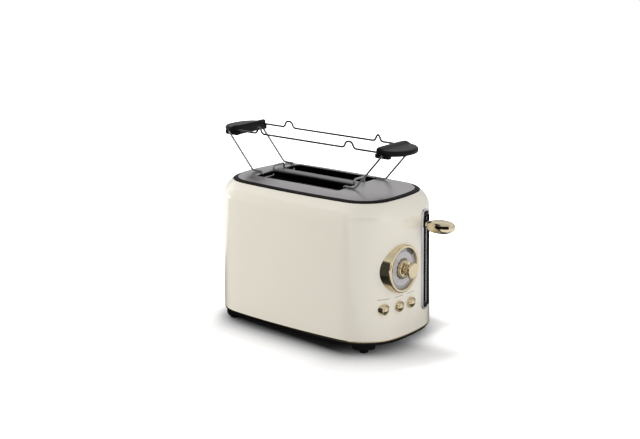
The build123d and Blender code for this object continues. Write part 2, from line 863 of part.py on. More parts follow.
# Carriage bracket: a plate across the chamber's end and a web with the sleeve that slides on the rod
with BuildPart() as carriage_bracket:
    with BuildSketch(level(carriage_bottom)):
        with Locations((carriage_x + carriage_sheet / 2, 0)):
            Rectangle(carriage_sheet, 2 * carriage_half_width)
    extrude(amount=carriage_top - carriage_bottom)
    with BuildSketch(level(web_bottom)):
        with Locations(((bracket_face + web_reach) / 2, (spring_y - spring_margin + sleeve_radius) / 2)):
            Rectangle(web_reach - bracket_face, sleeve_radius - spring_y + spring_margin)
        with Locations(((bracket_face + magnet_x + magnet_size / 2) / 2, magnet_y)):
            Rectangle(magnet_x + magnet_size / 2 - bracket_face, magnet_size)
        with Locations((rod_x, 0)):
            Circle(sleeve_radius)
    extrude(amount=web_sheet)
    with BuildSketch(level(web_level - sleeve_height / 2)):
        with Locations((rod_x, 0)):
            Circle(sleeve_radius)
    extrude(amount=sleeve_height)
    with BuildSketch(level(web_level - sleeve_height / 2)):
        with Locations((rod_x, 0)):
            Circle(rod_radius + pivot_gap)
    extrude(amount=sleeve_height, mode=Mode.SUBTRACT)
carriage_bracket.part.label = "carriage_bracket"
export_step(carriage_bracket.part, "parts/carriage_bracket.step")

# Flat lever arm from the bracket, out through the slot and into the knob
with BuildPart() as lever_arm:
    with BuildSketch(level(lever_z - lever_arm_height / 2)):
        with Locations(((bracket_face + arm_end) / 2, lever_y)):
            Rectangle(arm_end - bracket_face, lever_arm_thickness)
    extrude(amount=lever_arm_height)
lever_arm.part.label = "lever_arm"
export_step(lever_arm.part, "parts/lever_arm.step")

# Gold lever knob: a flattened pebble on a round neck, pressed onto the arm
pebble = scale(Sphere(1), by=(pebble_length / 2, pebble_width / 2, pebble_height / 2))
pebble_middle = pebble_start + pebble_length / 2
with BuildPart() as lever_knob:
    with BuildSketch(across(neck_start)):
        with Locations((lever_y, lever_z)):
            Circle(neck_radius)
    extrude(amount=pebble_middle - neck_start)
    add(pebble.moved(Location((body_x + pebble_middle, lever_y, lever_z))))
    with BuildSketch(across(neck_start)):
        with Locations((lever_y, lever_z)):
            Rectangle(lever_arm_thickness, lever_arm_height)
    extrude(amount=arm_end - neck_start, mode=Mode.SUBTRACT)
lever_knob.part.label = "lever_knob"
export_step(lever_knob.part, "parts/lever_knob.step")

# Guide rod, and the bracket on the end plate that holds its top
with BuildPart() as guide_rod:
    with BuildSketch(level(floor_level)):
        with Locations((rod_x, 0)):
            Circle(rod_radius)
    extrude(amount=bracket_level + bracket_sheet - floor_level)
guide_rod.part.label = "guide_rod"
export_step(guide_rod.part, "parts/guide_rod.step")

with BuildPart() as rod_bracket:
    with BuildSketch(level(bracket_level)):
        with Locations(((control_plate_x + rod_x + sleeve_radius) / 2, bracket_middle_y)):
            Rectangle(rod_x + sleeve_radius - control_plate_x, bracket_width)
        with Locations((rod_x, 0)):
            Circle(rod_radius, mode=Mode.SUBTRACT)
    extrude(amount=bracket_sheet)
    with BuildSketch(level(bracket_level - bracket_flange)):
        with Locations((control_plate_x + bracket_sheet / 2, bracket_middle_y)):
            Rectangle(bracket_sheet, bracket_width)
    extrude(amount=bracket_flange)
    with BuildSketch(across(control_plate_x)):
        with Locations(*bracket_screw_places):
            Circle(screw_radius)
    extrude(amount=bracket_sheet, mode=Mode.SUBTRACT)
rod_bracket.part.label = "rod_bracket"
export_step(rod_bracket.part, "parts/rod_bracket.step")

with BuildPart() as bracket_screws:
    with BuildSketch(across(control_plate_x + bracket_sheet)):
        with Locations(*bracket_screw_places):
            Circle(screw_head_radius)
    extrude(amount=screw_head_height)
    with BuildSketch(across(control_plate_x + bracket_sheet)):
        with Locations(*bracket_screw_places):
            Circle(screw_radius)
    extrude(amount=-bracket_screw_length)
bracket_screws.part.label = "bracket_screws"
export_step(bracket_screws.part, "parts/bracket_screws.step")

# Return spring, from the rod's bracket down to the carriage's web, as a plain tube
with BuildPart() as return_spring:
    with BuildSketch(level(web_top)):
        with Locations((rod_x, spring_y)):
            Circle(spring_radius)
            Circle(spring_radius - spring_wire, mode=Mode.SUBTRACT)
    extrude(amount=bracket_level - web_top)
return_spring.part.label = "return_spring"
export_step(return_spring.part, "parts/return_spring.step")

# Catch: a steel armature under the carriage, and the magnet that holds it down
core_size = magnet_size - 2 * coil_wall
core_bottom = magnet_top - magnet_height
for name, outside, inside, bottom, height in (
    ("armature_plate", magnet_size, 0, armature_bottom, armature_sheet),
    ("magnet_core", core_size, 0, core_bottom, magnet_height),
    ("magnet_coil", magnet_size, core_size, core_bottom, magnet_height - coil_margin),
    ("magnet_stand", magnet_size, 0, floor_level, core_bottom - floor_level),
):
    with BuildPart() as block:
        with BuildSketch(level(bottom)):
            with Locations((magnet_x, magnet_y)):
                Rectangle(outside, outside)
                if inside:
                    Rectangle(inside, inside, mode=Mode.SUBTRACT)
        extrude(amount=height)
    block.part.label = name
    export_step(block.part, f"parts/{name}.step")

# Circuit board, upright behind the dial and the buttons, and what it carries
with BuildPart() as circuit_board:
    with BuildSketch(across(board_back)):
        with Locations(((board_near_y + board_far_y) / 2, (board_bottom + board_top) / 2)):
            Rectangle(board_far_y - board_near_y, board_top - board_bottom)
        with Locations(*board_screw_places):
            Circle(small_screw_radius, mode=Mode.SUBTRACT)
    extrude(amount=board_sheet)
circuit_board.part.label = "circuit_board"
export_step(circuit_board.part, "parts/circuit_board.step")

with BuildPart() as board_screws:
    with BuildSketch(across(board_front)):
        with Locations(*board_screw_places):
            Circle(small_head_radius)
    extrude(amount=screw_head_height)
    with BuildSketch(across(board_back - board_screw_depth)):
        with Locations(*board_screw_places):
            Circle(small_screw_radius)
    extrude(amount=board_sheet + board_screw_depth)
board_screws.part.label = "board_screws"
export_step(board_screws.part, "parts/board_screws.step")

with BuildPart() as potentiometer:
    with BuildSketch(across(board_front)):
        with Locations((dial_y, dial_z)):
            Circle(pot_radius)
    extrude(amount=pot_depth)
    with BuildSketch(across(pot_front)):
        with Locations((dial_y, dial_z)):
            Circle(shaft_radius + pivot_gap)
    extrude(amount=-shaft_seat, mode=Mode.SUBTRACT)
potentiometer.part.label = "potentiometer"
export_step(potentiometer.part, "parts/potentiometer.step")

with BuildPart() as button_switches:
    with BuildSketch(across(board_front)):
        with Locations(*button_places):
            Rectangle(switch_size, switch_size)
    extrude(amount=switch_depth)
button_switches.part.label = "button_switches"
export_step(button_switches.part, "parts/button_switches.step")

# Crumb tray: a shallow pan under the base's window, with a pull at the cord end
pan_middle = (tray_inner_end - tray_outer_end) / 2
with BuildPart() as crumb_tray:
    with BuildSketch(level(tray_bottom)):
        with Locations((pan_middle, 0)):
            Rectangle(tray_outer_end + tray_inner_end, 2 * tray_half_width)
    extrude(amount=tray_depth)
    with BuildSketch(level(tray_bottom + tray_sheet)):
        with Locations((pan_middle, 0)):
            Rectangle(
                tray_outer_end + tray_inner_end - 2 * tray_sheet, 2 * (tray_half_width - tray_sheet)
            )
    extrude(amount=tray_depth, mode=Mode.SUBTRACT)
    with BuildSketch(level(tray_bottom)):
        with Locations((-(tray_reach + tray_outer_end) / 2, 0)):
            Rectangle(tray_reach - tray_outer_end, 2 * pull_half_width)
    extrude(amount=tray_sheet)
    with BuildSketch(level(tray_bottom)):
        with Locations((tray_sheet / 2 - tray_reach, 0)):
            Rectangle(tray_sheet, 2 * pull_half_width)
    extrude(amount=-pull_drop)
crumb_tray.part.label = "crumb_tray"
export_step(crumb_tray.part, "parts/crumb_tray.step")

# Rubber bush for the cord, square to the curved shell, and the terminal block behind it
with BuildPart() as cord_bush:
    with BuildSketch(bush_plane):
        Circle(bush_radius)
    extrude(amount=bush_rise, both=True)
    add(body_outside, mode=Mode.SUBTRACT)
    with BuildSketch(bush_plane):
        Circle(bush_radius - bush_lip)
    extrude(amount=-bush_rise)
    with BuildSketch(bush_plane):
        Circle(bush_bore)
    extrude(amount=bush_rise, both=True, mode=Mode.SUBTRACT)
cord_bush.part.label = "cord_bush"
export_step(cord_bush.part, "parts/cord_bush.step")

with BuildPart() as terminal_block:
    with BuildSketch(level(floor_level)):
        with Locations((-terminal_x, bush_y)):
            Rectangle(terminal_length, terminal_width)
    extrude(amount=terminal_height)
terminal_block.part.label = "terminal_block"
export_step(terminal_block.part, "parts/terminal_block.step")

# Screws up through the base into the end plates
with BuildPart() as base_screws:
    with BuildSketch(level(base_bottom)):
        with Locations(*base_screw_places):
            Circle(screw_head_radius)
    extrude(amount=-screw_head_height)
    with BuildSketch(level(base_bottom)):
        with Locations(*base_screw_places):
            Circle(screw_radius)
    extrude(amount=screw_length)
base_screws.part.label = "base_screws"
export_step(base_screws.part, "parts/base_screws.step")


def hump(place, top):
    """The corners of one hump in a long wire of the rack."""
    return [
        (place - top / 2 - hump_flank, 0),
        (place - top / 2, hump_height),
        (place + top / 2, hump_height),
        (place + top / 2 + hump_flank, 0),
    ]


# Bun rack: two long wires, each with a narrow and a wide hump, opposite ways round
wire_end = handle_inner + wire_socket
long_wires = []
for name, side in (("rack_wire_front", -1), ("rack_wire_back", 1)):
    run = [(-wire_end, 0), *hump(-hump_place, hump_top), *hump(wide_hump_place, wide_hump_top), (wire_end, 0)]
    long_wire = wire([(rack_x - side * x, side * rack_wire_y, wire_level + rise) for x, rise in run], hump_bend)
    long_wires.append(long_wire)
    long_wire.label = name
    export_step(long_wire, f"parts/{name}.step")

# Leg frames: down from the handle to a foot on the deck, into the slots and over the strip between them
toe_x = leg_foot_x - foot_reach
leg_top_x = leg_foot_x + leg_lean * (leg_top - foot_level)
leg_frames = []
for name, side in (("rack_legs_left", -1), ("rack_legs_right", 1)):
    half = [
        (leg_top_x, leg_y, leg_top),
        (leg_foot_x, leg_y, foot_level),
        (toe_x, leg_y, foot_level),
        (toe_x, leg_y, foot_level - dip_depth),
        (toe_x, staple_y, foot_level - dip_depth),
        (toe_x, staple_y, deck_level + staple_rise),
    ]
    corners = half + [(x, -y, z) for x, y, z in reversed(half)]
    legs = wire([(rack_x + side * x, -y, z) for x, y, z in corners], wire_bend)
    leg_frames.append(legs)
    legs.label = name
    export_step(legs, f"parts/{name}.step")

# Black handles: an inner wall with a block at each end, and a thin rounded plate outside it
for name, side, legs in zip(("rack_handle_left", "rack_handle_right"), (-1, 1), leg_frames):
    with BuildPart() as handle:
        with BuildSketch(Plane((rack_x, 0, wire_level - handle_drop))):
            with Locations((side * (handle_inner + handle_wall / 2), 0)):
                Rectangle(handle_wall, 2 * handle_half_width)
        extrude(amount=handle_rise + handle_drop)
        fillet(handle.faces().sort_by(Axis.Z)[-1].edges(), radius=handle_rounding)
        with BuildSketch(Plane((rack_x, 0, wire_level - handle_drop))):
            block_x = side * (handle_inner + handle_block / 2)
            block_y = handle_half_width - block_width / 2
            with Locations((block_x, block_y), (block_x, -block_y)):
                Rectangle(handle_block, block_width)
        extrude(amount=plate_rise + handle_drop)
        with BuildSketch(Plane((rack_x, 0, wire_level - plate_drop))):
            with BuildLine():
                plate_root = side * (handle_inner + handle_wall / 2)
                Line((plate_root, -handle_half_width), (plate_root, handle_half_width))
                ThreePointArc(
                    (plate_root, handle_half_width),
                    (side * handle_outer, 0),
                    (plate_root, -handle_half_width),
                )
            make_face()
        extrude(amount=plate_drop + plate_rise)
        add(legs, mode=Mode.SUBTRACT)
        for long_wire in long_wires:
            add(long_wire, mode=Mode.SUBTRACT)
    handle.part.label = name
    export_step(handle.part, f"parts/{name}.step")
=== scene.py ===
import bpy
import json
from math import asin, atan2, cos, hypot, pi, radians, sin, sqrt
from mathutils import Matrix, Vector

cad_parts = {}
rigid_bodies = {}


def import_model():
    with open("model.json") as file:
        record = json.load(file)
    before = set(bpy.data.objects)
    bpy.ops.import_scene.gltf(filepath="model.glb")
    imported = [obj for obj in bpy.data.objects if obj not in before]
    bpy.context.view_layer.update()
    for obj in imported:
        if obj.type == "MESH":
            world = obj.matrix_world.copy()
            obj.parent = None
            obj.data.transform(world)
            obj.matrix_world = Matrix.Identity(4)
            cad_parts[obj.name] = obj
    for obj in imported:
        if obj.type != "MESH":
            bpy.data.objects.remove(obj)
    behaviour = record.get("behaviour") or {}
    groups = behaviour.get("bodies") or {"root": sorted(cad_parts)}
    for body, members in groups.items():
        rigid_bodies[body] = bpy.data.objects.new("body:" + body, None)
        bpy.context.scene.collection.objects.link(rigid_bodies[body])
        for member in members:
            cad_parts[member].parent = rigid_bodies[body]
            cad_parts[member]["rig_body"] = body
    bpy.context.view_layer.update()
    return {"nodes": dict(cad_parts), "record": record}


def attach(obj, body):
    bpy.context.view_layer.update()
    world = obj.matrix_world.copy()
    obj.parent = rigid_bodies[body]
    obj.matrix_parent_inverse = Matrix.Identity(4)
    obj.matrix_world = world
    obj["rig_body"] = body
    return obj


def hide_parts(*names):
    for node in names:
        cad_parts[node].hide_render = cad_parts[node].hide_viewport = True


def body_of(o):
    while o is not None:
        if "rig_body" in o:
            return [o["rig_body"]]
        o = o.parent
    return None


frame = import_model()
nodes = frame["nodes"]
mm = 0.001
print("frame loaded:", len(nodes), "nodes")


# Camera, fitted to the photograph: where it stands, its turn and its lens
view = {"azimuth": 38.857, "elevation": 16.303, "distance": 1753.268, "aim": (-10.25, 0, 100), "roll": -0.249,
        "focalPixels": 1318.347, "centre": (325.101, 250.641), "picture": (640, 439)}


def addCamera():
    bpy.ops.object.camera_add()
    camera = bpy.context.object
    camera.name = "photoCamera"
    around, rise, roll = (radians(view[k]) for k in ("azimuth", "elevation", "roll"))
    back = Vector((sin(around) * cos(rise), -cos(around) * cos(rise), sin(rise)))
    right = Vector((cos(around), sin(around), 0))
    up = right.cross(-back)
    tilted = Matrix((cos(roll) * right + sin(roll) * up, cos(roll) * up - sin(roll) * right, back)).transposed()
    place = (Vector(view["aim"]) + back * view["distance"]) * mm
    camera.matrix_world = Matrix.Translation(place) @ tilted.to_4x4()
    width, height = view["picture"]
    camera.data.sensor_width = 36
    camera.data.lens = view["focalPixels"] * 36 / width
    camera.data.shift_x = (width / 2 - view["centre"][0]) / width
    camera.data.shift_y = (view["centre"][1] - height / 2) / width
    camera.data.clip_start = 0.05
    bpy.context.scene.camera = camera


addCamera()
print("camera placed")


# Node sockets that can be added, multiplied and compared in plain Python
class Socket:
    def __init__(self, graph, socket):
        self.graph = graph
        self.socket = socket

    def maths(self, operation, other, swapped=False):
        first, second = (other, self) if swapped else (self, other)
        return self.graph.node("ShaderNodeMath", {"operation": operation}, {0: first, 1: second})

    def alone(self, operation):
        return self.graph.node("ShaderNodeMath", {"operation": operation}, {0: self})

    def __add__(self, other): return self.maths("ADD", other)
    def __radd__(self, other): return self.maths("ADD", other, True)
    def __sub__(self, other): return self.maths("SUBTRACT", other)
    def __rsub__(self, other): return self.maths("SUBTRACT", other, True)
    def __mul__(self, other): return self.maths("MULTIPLY", other)
    def __truediv__(self, other): return self.maths("DIVIDE", other)
    def __pow__(self, other): return self.maths("POWER", other)
    def __gt__(self, other): return self.maths("GREATER_THAN", other)
    def __lt__(self, other): return self.maths("LESS_THAN", other)
    def __abs__(self): return self.alone("ABSOLUTE")
    def most(self, other): return self.maths("MAXIMUM", other)
    def least(self, other): return self.maths("MINIMUM", other)


class Graph:
    def __init__(self, tree):
        self.tree = tree

    def node(self, kind, settings=None, values=None, output=0):
        made = self.tree.nodes.new(kind)
        for key, value in (settings or {}).items():
            setattr(made, key, value)
        for key, value in (values or {}).items():
            if isinstance(value, Socket):
                self.tree.links.new(value.socket, made.inputs[key])
            elif isinstance(value, tuple) and len(value) == 3 and made.inputs[key].type == "RGBA":
                made.inputs[key].default_value = (*value, 1)
            else:
                made.inputs[key].default_value = value
        return Socket(self, made.outputs[output])

    def place(self):
        return self.node("ShaderNodeTexCoord", output="Object")

    def split(self, vector):
        made = self.node("ShaderNodeSeparateXYZ", None, {0: vector}).socket.node
        return [Socket(self, made.outputs[k]) for k in range(3)]

    def noise(self, scale, detail=2.0, vector=None):
        return self.node("ShaderNodeTexNoise", None,
                         {"Vector": vector or self.place(), "Scale": scale, "Detail": detail})

    def stretched(self, factors):
        return self.node("ShaderNodeMapping", {"vector_type": "POINT"}, {"Vector": self.place(), "Scale": factors})

    def mix(self, factor, first, second):
        return self.node("ShaderNodeMix", {"data_type": "RGBA"}, {0: factor, 6: first, 7: second}, output=2)

    def bump(self, height, strength, distance):
        return self.node("ShaderNodeBump", None, {"Height": height, "Strength": strength, "Distance": distance})


def material(name, build, **plain):
    made = bpy.data.materials.new(name)
    made.use_nodes = True
    graph = Graph(made.node_tree)
    surface = made.node_tree.nodes["Principled BSDF"]
    for key, value in {**plain, **build(graph)}.items():
        key = key.replace("_", " ")
        if isinstance(value, Socket):
            made.node_tree.links.new(value.socket, surface.inputs[key])
        elif isinstance(value, tuple):
            surface.inputs[key].default_value = (*value, 1)
        else:
            surface.inputs[key].default_value = value
    return made


def ramp(graph, value, low, high):
    return graph.node("ShaderNodeMapRange", {"interpolation_type": "SMOOTHSTEP"}, {0: value, 1: low, 2: high})


# Two kinds of finish: two tones mixed by a soft noise or by brushed lines, each with a sheen range and fine relief
def mottled(tones, grain, rough, relief=0.0, reliefScale=900.0):
    def build(graph):
        cloud = graph.noise(grain, 4.0)
        values = {"Base_Color": graph.mix(cloud, tones[0], tones[1]),
                  "Roughness": cloud * (rough[1] - rough[0]) + rough[0]}
        if relief:
            values["Normal"] = graph.bump(graph.noise(reliefScale, 3.0), relief, 0.0004)
        return values
    return build


def brushed(tones, factors, rough, relief):
    def build(graph):
        lines = graph.noise(1.0, 3.0, graph.stretched(factors))
        cloud = graph.noise(14.0, 2.0)
        return {"Base_Color": graph.mix(lines * 0.6 + cloud * 0.4, tones[0], tones[1]),
                "Roughness": lines * (rough[1] - rough[0]) + rough[0],
                "Normal": graph.bump(lines, relief, 0.0002)}
    return build


# The deck's steel gets painted shade on the lips that reach down into the two slots, and is darker on the strip
# between
deckTones = {"middle": -21.45, "lipHeights": (197.2, 199.4), "lipHalves": (73.0, 45.5), "lip": (0.02, 0.02, 0.021),
             "stripHalves": (70.0, 7.1), "stripShare": 0.6, "strip": (0.07, 0.068, 0.07)}


def deckSteel(build):
    def withPaintedSlotShade(graph):
        values = build(graph)
        x, y, z = graph.split(graph.place())
        low, high = (height * mm for height in deckTones["lipHeights"])
        length, width = (half * mm for half in deckTones["lipHalves"])
        # Painted shade: the lips that reach down into the slots turn near black
        inside = (1 - ramp(graph, z, low, high)) * (abs(y) < width) * (abs(x - deckTones["middle"] * mm) < length)
        length, width = (half * mm for half in deckTones["stripHalves"])
        strip = (abs(y) < width) * (abs(x - deckTones["middle"] * mm) < length) * deckTones["stripShare"]
        steel = graph.mix(strip, values["Base_Color"], deckTones["strip"])
        values["Base_Color"] = graph.mix(inside, steel, deckTones["lip"])
        return values
    return withPaintedSlotShade


# Cream enamel, with one row of plain grey dashes over each button
labels = {"middles": (-49.7, -27.0, -4.3), "z": 71.8, "halfWidth": 7.4, "halfHeight": 0.6, "beyond": 100.0,
          "perMillimetre": 0.62, "gap": 0.28, "strength": 0.75, "grey": (0.16, 0.15, 0.14)}


def enamel(build):
    def printed(graph):
        values = build(graph)
        x, y, z = graph.split(graph.place())
        places = [abs(y / mm - middle) < labels["halfWidth"] for middle in labels["middles"]]
        row = (places[0] + places[1] + places[2]) * (abs(z / mm - labels["z"]) < labels["halfHeight"])
        dashes = (y / mm * labels["perMillimetre"] + 50.0).alone("FRACT") > labels["gap"]
        share = row * (x > labels["beyond"] * mm) * dashes * labels["strength"]
        values["Base_Color"] = graph.mix(share, values["Base_Color"], labels["grey"])
        return values
    return printed


# Tones, grain, sheen and relief of each material slot of the record
finish = {
    "cream_paint": material(
        "creamEnamel", enamel(mottled(((0.75, 0.705, 0.605), (0.77, 0.73, 0.635)), 6.0, (0.2, 0.26), 0.03, 700.0)),
        Coat_Weight=1.0, Coat_Roughness=0.04, Specular_IOR_Level=0.4),
    "pale_gold": material(
        "paleGold", mottled(((0.75, 0.635, 0.42), (0.81, 0.70, 0.49)), 20.0, (0.07, 0.11)), Metallic=1.0),
    "black_moulding": material(
        "blackGloss", mottled(((0.004, 0.004, 0.0045), (0.007, 0.007, 0.0075)), 30.0, (0.3, 0.38), 0.04),
        Specular_IOR_Level=0.11),
    "black_rubber": material(
        "blackRubber", mottled(((0.005, 0.0045, 0.004), (0.009, 0.008, 0.007)), 60.0, (0.4, 0.5), 0.05),
        Specular_IOR_Level=0.06),
    "brushed_deck_steel": material(
        "deckSteel", deckSteel(brushed(((0.49, 0.475, 0.485), (0.55, 0.535, 0.545)), (4.0, 260.0, 260.0),
                                       (0.3, 0.36), 0.004)), Metallic=1.0),
    "bright_trim": material(
        "brightTrim", mottled(((0.62, 0.62, 0.64), (0.68, 0.68, 0.70)), 40.0, (0.08, 0.14)), Metallic=1.0),
    "dial_grey": material(
        "dialGrey", mottled(((0.42, 0.40, 0.46), (0.47, 0.45, 0.50)), 60.0, (0.3, 0.38)), Metallic=0.3),
    # Painted shade: sheet steel and the bright reflector are tinted near black for the dark inside of the slots;
    # the crumb tray below gets the steel's own lighter tone
    "sheet_steel": material(
        "sheetSteelPaintedShade", brushed(((0.09, 0.09, 0.092), (0.13, 0.13, 0.133)), (500.0, 500.0, 20.0), (0.3, 0.45), 0.08),
        Metallic=1.0),
    "bright_reflector": material(
        "reflectorPaintedShade", brushed(((0.05, 0.05, 0.05), (0.08, 0.08, 0.08)), (20.0, 400.0, 400.0),
                                  (0.2, 0.35), 0.05), Metallic=1.0),
    "screw_steel": material(
        "screwSteel", mottled(((0.40, 0.40, 0.39), (0.50, 0.50, 0.49)), 200.0, (0.25, 0.4)), Metallic=1.0),
    "mica": material(
        "micaSheet", mottled(((0.20, 0.17, 0.11), (0.27, 0.23, 0.15)), 90.0, (0.35, 0.6), 0.2, 300.0)),
    "heater_ribbon": material(
        "heaterRibbon", mottled(((0.06, 0.055, 0.05), (0.12, 0.11, 0.10)), 150.0, (0.35, 0.6)), Metallic=0.9),
    "copper_winding": material(
        "copperWinding", brushed(((0.50, 0.20, 0.08), (0.66, 0.30, 0.13)), (30.0, 30.0, 3000.0), (0.2, 0.35), 0.4),
        Metallic=0.9),
    "inner_moulding": material(
        "innerMoulding", mottled(((0.60, 0.60, 0.56), (0.68, 0.68, 0.64)), 50.0, (0.4, 0.55), 0.1)),
    "board_laminate": material(
        "boardLaminate", mottled(((0.02, 0.09, 0.035), (0.035, 0.14, 0.055)), 120.0, (0.25, 0.4)), Coat_Weight=0.4),
}


def dress(piece, surface):
    piece.data.materials.clear()
    piece.data.materials.append(surface)


for part in frame["record"]["subparts"]:
    dress(nodes[part["node"]], finish[part["material_slot"]])
trayBuild = brushed(((0.42, 0.42, 0.425), (0.5, 0.5, 0.505)), (30.0, 600.0, 600.0), (0.3, 0.4), 0.02)
dress(nodes["crumb_tray"], material("traySteel", trayBuild, Metallic=1.0))
print("materials ready:", len(finish) + 1)


# A closed skin over rings of points, shaped from a grid, with its first and last ring filled if it is capped
def skin(name, rings, capped=False, crease=40.0):
    bpy.ops.object.select_all(action="DESELECT")
    count = len(rings[0])
    bpy.ops.mesh.primitive_grid_add(x_subdivisions=count, y_subdivisions=len(rings) - 1)
    piece = bpy.context.object
    piece.name = piece.data.name = name
    flat = []
    for ring in rings:
        for x, y, z in list(ring) + [ring[0]]:
            flat += [x * mm, y * mm, z * mm]
    piece.data.vertices.foreach_set("co", flat)
    piece.data.update()
    for k in (0, len(rings) - 1) if capped else ():
        for item in (piece.data.vertices, piece.data.edges, piece.data.polygons):
            item.foreach_set("select", [False] * len(item))
        for edge in piece.data.edges:
            edge.select = all(v // (count + 1) == k for v in edge.vertices)
        bpy.ops.object.mode_set(mode="EDIT")
        bpy.ops.mesh.select_mode(type="EDGE")
        bpy.ops.mesh.edge_face_add()
        bpy.ops.object.mode_set(mode="OBJECT")
    bpy.ops.object.mode_set(mode="EDIT")
    bpy.ops.mesh.select_all(action="SELECT")
    bpy.ops.mesh.remove_doubles(threshold=1e-6)
    bpy.ops.mesh.normals_make_consistent(inside=False)
    bpy.ops.object.mode_set(mode="OBJECT")
    bpy.ops.object.shade_smooth_by_angle(angle=radians(crease))
    return piece


# The body's outline from above, drawn in by an even amount, as in the solids
body = {"middle": -10.25, "halfLength": 143.0, "halfWidth": 85.0, "sideRadius": 1130.0, "endRadius": 217.0,
        "cornerRadius": 59.5, "wallSlope": 0.015, "shellBottom": 18.0, "shellTop": 196.8, "shoulder": 27.0,
        "openingInset": 15.0, "opening": 192.72, "gasketWidth": 6.7, "deckEdge": 194.6}


def outlineCentres():
    sideCentre = body["sideRadius"] - body["halfWidth"]
    endCentre = body["halfLength"] - body["endRadius"]
    sideReach = body["sideRadius"] - body["cornerRadius"]
    endReach = body["endRadius"] - body["cornerRadius"]
    apart = hypot(endCentre, sideCentre)
    along = (sideReach ** 2 - endReach ** 2 + apart ** 2) / (2 * apart)
    beside = sqrt(sideReach ** 2 - along ** 2)
    cornerX = (along * endCentre + beside * sideCentre) / apart
    cornerY = (along * sideCentre - beside * endCentre) / apart - sideCentre
    return sideCentre, endCentre, cornerX, cornerY, asin(cornerX / sideReach), asin(cornerY / endReach)


sideCentre, endCentre, cornerX, cornerY, sideAngle, endAngle = outlineCentres()


def outline(inset, sideSteps=26, cornerSteps=22, endSteps=10):
    quarter = []
    for k in range(sideSteps):
        a = -pi / 2 + sideAngle * k / sideSteps
        r = body["sideRadius"] - inset
        quarter.append((r * cos(a), sideCentre + r * sin(a)))
    start, stop = sideAngle - pi / 2, -endAngle
    for k in range(cornerSteps):
        a = start + (stop - start) * k / cornerSteps
        r = body["cornerRadius"] - inset
        quarter.append((cornerX + r * cos(a), -cornerY + r * sin(a)))
    for k in range(endSteps + 1):
        a = -endAngle * (1 - k / endSteps)
        r = body["endRadius"] - inset
        quarter.append((endCentre + r * cos(a), r * sin(a)))
    half = quarter + [(x, -y) for x, y in reversed(quarter[:-1])]
    return half + [(-x, y) for x, y in reversed(half[1:-1])]


def level(inset, height):
    return [(body["middle"] + x, y, height) for x, y in outline(inset)]


def wallInset(height):
    inset = body["wallSlope"] * (height - body["shellBottom"])
    rise = height - body["shellTop"] + body["shoulder"]
    if rise > 0:
        inset += body["shoulder"] - sqrt(max(body["shoulder"] ** 2 - rise ** 2, 0))
    return inset


# Shell: one smooth skin from the band up over the shoulder to the deck's opening, with the lever's hole in it
shell = {"hole": (23.0, 34.6, 44.0, 171.0), "lip": 1.2, "step": 12, "clear": 4}


def makeShell():
    bottom, opening = body["shellBottom"], body["opening"]
    left, right, low, high = shell["hole"]
    heights = [bottom, bottom + 0.4] + [bottom + 2 + shell["step"] * k for k in range(13)]
    heights = [h for h in heights if min(abs(h - low), abs(h - high)) > shell["clear"]] + [low, high]
    start = body["shellTop"] - body["shoulder"]
    heights += [start] + [start + body["shoulder"] * sin(radians(a)) for a in range(4, 57, 4)]
    heights = sorted(h for h in heights if h < opening - 0.4) + [opening]
    rings = [level(wallInset(h), h) for h in heights]
    inner = [level(wallInset(h) + shell["lip"], h - shell["lip"]) for h in (opening, opening - 5)]
    piece = skin("shellSkin", rings + inner)
    bpy.ops.object.mode_set(mode="EDIT")
    for y in (left, right):
        bpy.ops.mesh.select_all(action="SELECT")
        bpy.ops.mesh.bisect(plane_co=(0, y * mm, 0), plane_no=(0, 1, 0))
    bpy.ops.mesh.select_mode(type="FACE")
    bpy.ops.mesh.select_all(action="DESELECT")
    bpy.ops.object.mode_set(mode="OBJECT")
    for face in piece.data.polygons:
        x, y, z = face.center / mm
        face.select = x > 100 and left < y < right and low < z < high
    bpy.ops.object.mode_set(mode="EDIT")
    bpy.ops.mesh.delete(type="FACE")
    bpy.ops.object.mode_set(mode="OBJECT")
    return piece


# A finished piece rides the body of the solid that it stands for or sits on
def fit(piece, slot, like, surface=None, replaces=True):
    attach(piece, body_of(nodes[like])[0])
    if replaces:
        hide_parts(like)
    dress(piece, surface or finish[slot])


fit(makeShell(), "cream_paint", "outer_shell")
print("shell made")

# Gold band under the shell: a soft half-round strip
band = {"bottom": 15.0, "height": 3.0, "bulge": 0.5, "depth": 3.4}


def makeBand():
    rings = []
    for k in range(9):
        a = pi * k / 8 - pi / 2
        rings.append(level(band["bulge"] * (1 - cos(a)), band["bottom"] + band["height"] * (0.5 + 0.5 * sin(a))))
    rings += [level(band["depth"], band["bottom"] + band["height"]), level(band["depth"], band["bottom"])]
    return skin("goldBand", rings + rings[:1])


fit(makeBand(), "pale_gold", "base_band")

# Black seal round the deck: a sloping strip with a rounded outer bead
seal = {"rise": 0.3, "below": 5.0, "swell": 0.25}


def makeSeal():
    outer, inner = body["openingInset"], body["openingInset"] + body["gasketWidth"]
    low, high = body["opening"] + seal["rise"], body["deckEdge"] + seal["rise"]
    rings = [level(outer, low - seal["below"]), level(outer, low - 0.5), level(outer + 0.15, low - 0.15),
             level(outer + 0.6, low + 0.15)]
    for t in (0.25, 0.5, 0.75, 0.93):
        rings.append(level(outer + (inner - outer) * t, low + (high - low) * t + seal["swell"] * sin(pi * t)))
    rings += [level(inner - 0.1, high - 0.1), level(inner, high - 0.5), level(inner, low - seal["below"])]
    return skin("deckSeal", rings + rings[:1])


fit(makeSeal(), "black_rubber", "deck_gasket")
print("band and seal made")


# The control end's curved wall, and rings turned round an axis that points out of it
def wallAt(y, z):
    inset = wallInset(z)
    reach = body["endRadius"] - inset
    if abs(y) <= reach * sin(endAngle):
        return endCentre + sqrt(reach ** 2 - y ** 2)
    reach = body["cornerRadius"] - inset
    return cornerX + sqrt(reach ** 2 - (abs(y) - cornerY) ** 2)


def circle(y, z, radius, x, count=72):
    turns = [2 * pi * k / count for k in range(count)]
    return [(body["middle"] + x, y + radius * cos(a), z + radius * sin(a)) for a in turns]


